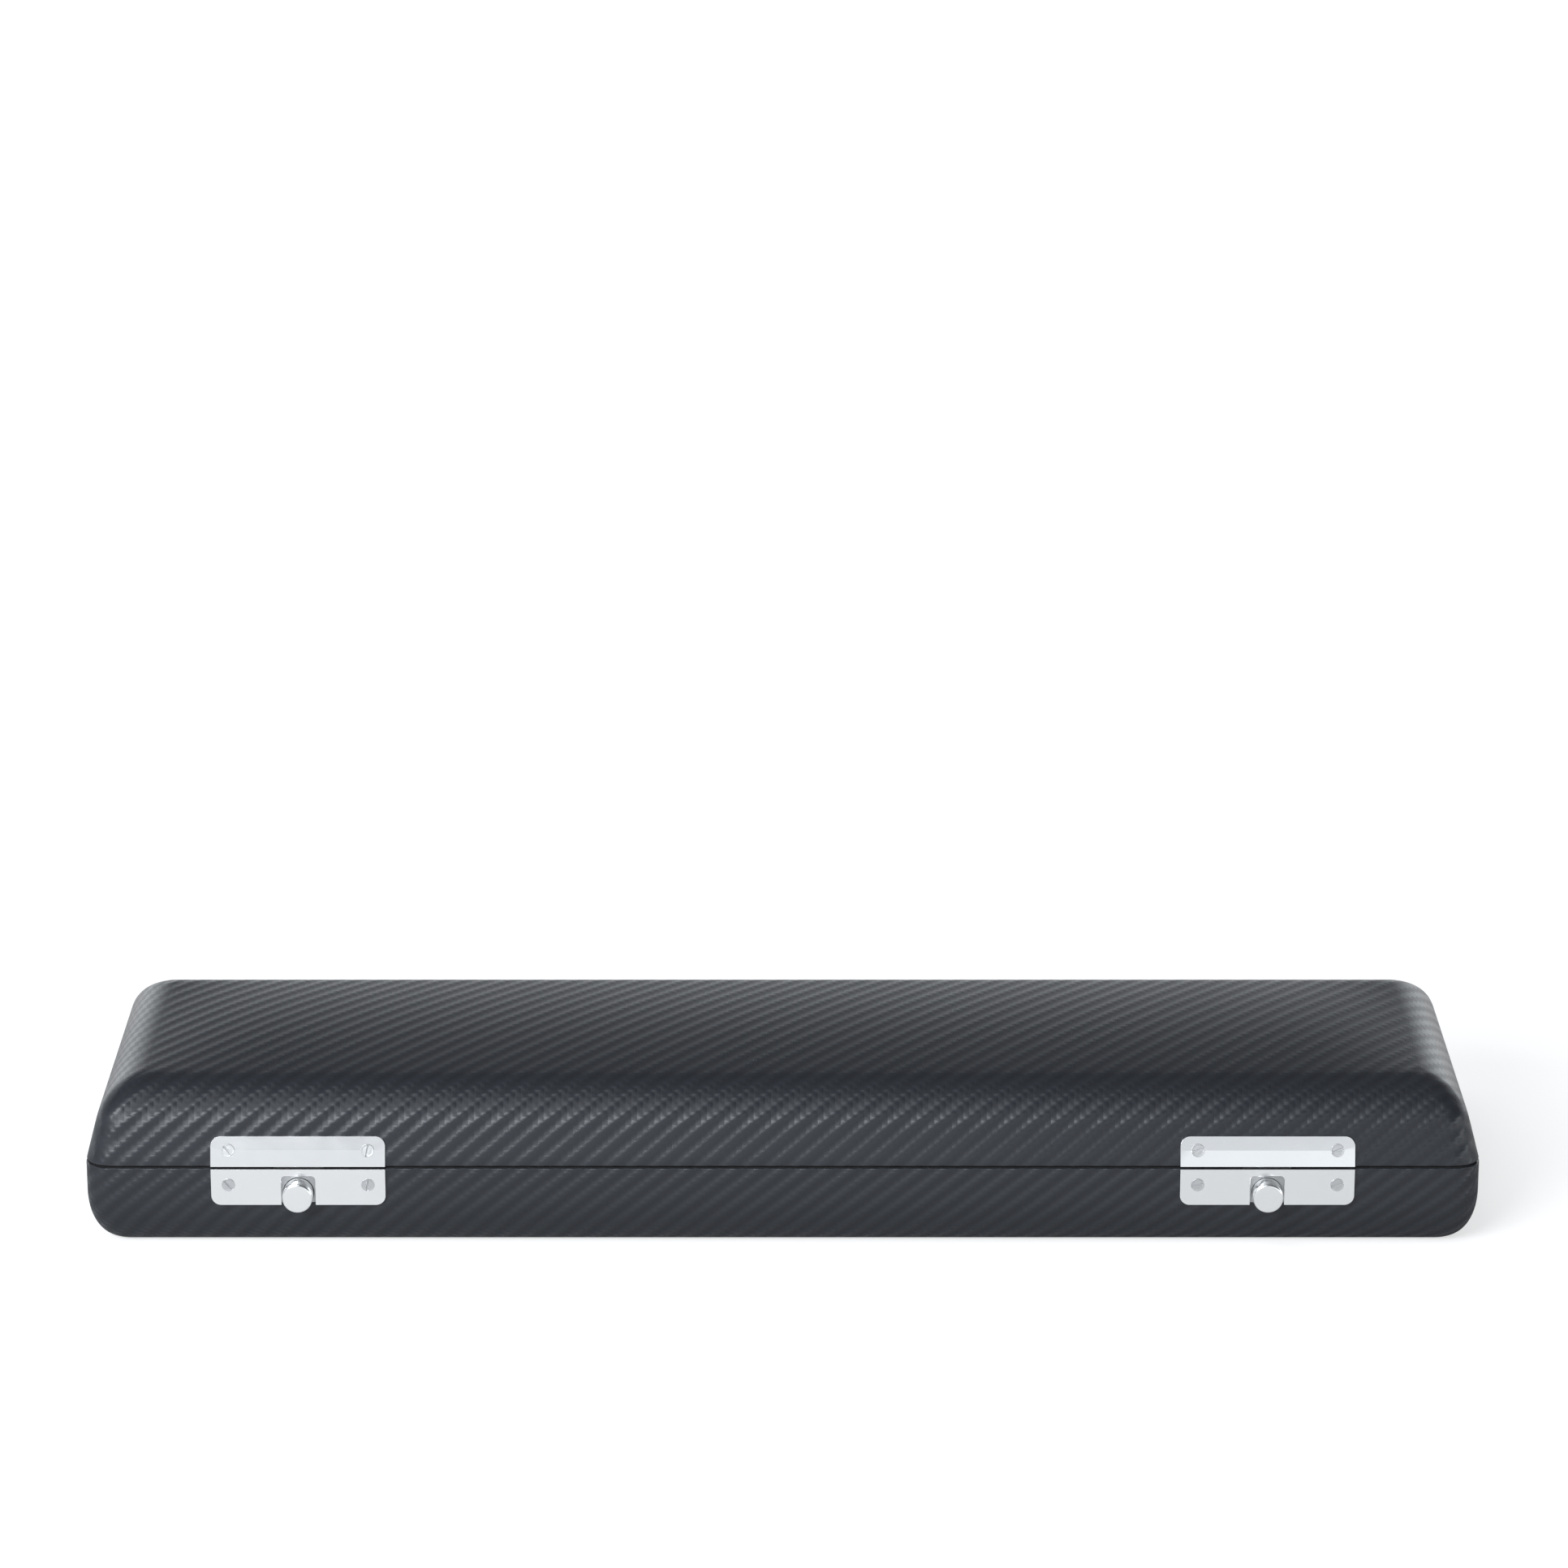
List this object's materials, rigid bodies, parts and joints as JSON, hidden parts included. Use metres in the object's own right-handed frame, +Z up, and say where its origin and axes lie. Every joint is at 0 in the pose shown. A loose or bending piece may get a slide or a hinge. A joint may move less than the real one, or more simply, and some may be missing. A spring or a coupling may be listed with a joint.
{
  "type": "flute case",
  "caption": "Hard rectangular flute case with a hinged crowned lid, push-button latches and a shaped plush-lined interior.",
  "frame": {"origin": "middle of the underside, on the surface that the case lies on", "axes": "+X along the case to the right seen from the latches, +Y from the latches to the hinges, +Z up through the lid"},
  "size_m": [0.425, 0.1264, 0.0525],
  "materials": {
    "covering": "satin leatherette embossed with a two-by-two twill",
    "shell_wood": "black stained, matte",
    "plush": "short black plush",
    "satin_plate": "satin nickel plate",
    "screw_steel": "satin nickel-plated steel",
    "spring_steel": "plain spring steel"
  },
  "bodies": {
    "base": {"base_shell": "shell_wood", "base_cover": "covering", "base_bottom_panel": "covering", "base_insert": "plush", "base_lining_lip": "plush", "left_latch_base_plate": "satin_plate", "right_latch_base_plate": "satin_plate", "left_latch_housing": "satin_plate", "right_latch_housing": "satin_plate", "left_button_spring": "spring_steel", "right_button_spring": "spring_steel", "latch_base_screws": "screw_steel", "left_hinge_base_leaf": "satin_plate", "right_hinge_base_leaf": "satin_plate", "left_hinge_pin": "screw_steel", "right_hinge_pin": "screw_steel", "hinge_base_screws": "screw_steel"},
    "lid": {"lid_shell": "shell_wood", "lid_cover": "covering", "lid_lining": "plush", "left_latch_lid_plate": "satin_plate", "right_latch_lid_plate": "satin_plate", "left_latch_keeper": "satin_plate", "right_latch_keeper": "satin_plate", "latch_lid_screws": "screw_steel", "keeper_screws": "screw_steel", "left_hinge_lid_leaf": "satin_plate", "right_hinge_lid_leaf": "satin_plate", "hinge_lid_screws": "screw_steel"},
    "left_latch_bolt": {"left_latch_button": "satin_plate", "left_latch_catch": "spring_steel"},
    "right_latch_bolt": {"right_latch_button": "satin_plate", "right_latch_catch": "spring_steel"}
  },
  "joints": [
    {"name": "lid_hinge", "type": "hinge", "parent": "base", "child": "lid", "pos_m": [0, 0.06035, 0.0262], "axis": [-1, 0, 0], "range_deg": [0, 105]},
    {"name": "left_button", "type": "slide", "parent": "base", "child": "left_latch_bolt", "axis": [0, 1, 0], "range_m": [0, 0.0025], "stiffness_N_per_m": 300, "springref_m": -0.004, "deforming": ["left_button_spring"]},
    {"name": "right_button", "type": "slide", "parent": "base", "child": "right_latch_bolt", "axis": [0, 1, 0], "range_m": [0, 0.0025], "stiffness_N_per_m": 300, "springref_m": -0.004, "deforming": ["right_button_spring"]}
  ]
}
